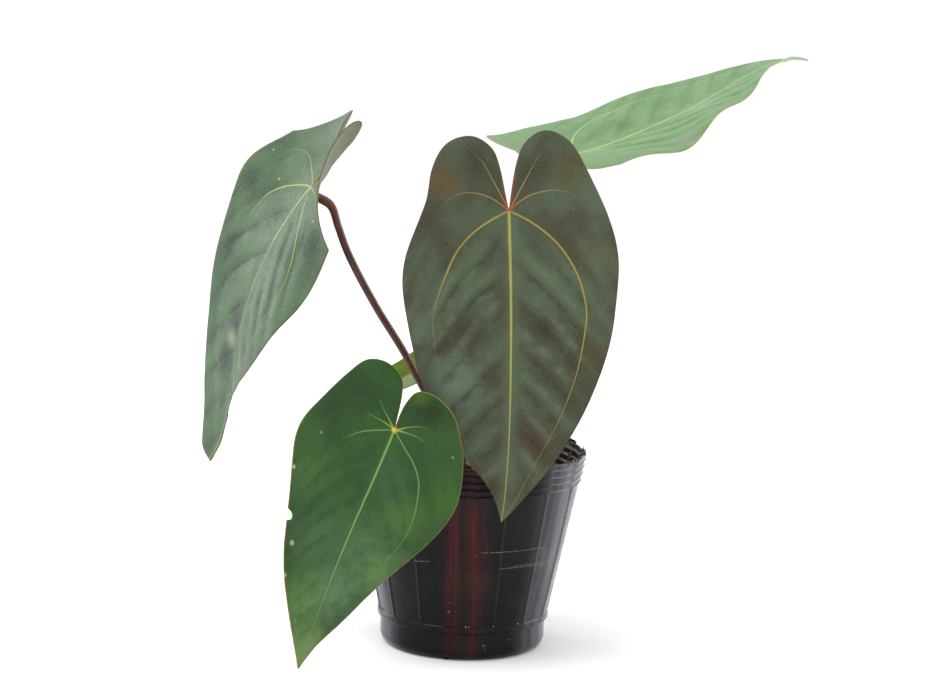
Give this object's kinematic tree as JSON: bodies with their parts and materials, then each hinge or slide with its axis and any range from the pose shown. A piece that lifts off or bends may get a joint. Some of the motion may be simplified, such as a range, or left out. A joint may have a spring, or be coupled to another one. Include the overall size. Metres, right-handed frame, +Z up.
{
  "type": "potted anthurium hybrid",
  "caption": "Young hybrid anthurium with large heart-shaped leaves on bare reddish stalks, in a thin black ribbed nursery pot.",
  "frame": {"origin": "centre of the pot's flat underside", "axes": "+Z up out of the pot, +Y away from the side that the big hanging leaf faces, +X to the right of that side"},
  "size_m": [0.2711, 0.2165, 0.2583],
  "materials": {
    "pot": "thin black film plastic, satin to gloss",
    "mix": "loose bark, grit and peat",
    "stem": "brown and fibrous",
    "stalk": "smooth reddish brown skin",
    "blade": "leathery green with paler veins, satin"
  },
  "bodies": {
    "root": {"pot": "pot", "potting_mix": "mix", "stem": "stem", "stalk_left": "stalk", "stalk_centre": "stalk", "stalk_low": "stalk", "stalk_right": "stalk", "stalk_back": "stalk", "blade_left": "blade", "blade_centre": "blade", "blade_low": "blade", "blade_right": "blade", "blade_back": "blade"}
  },
  "joints": []
}
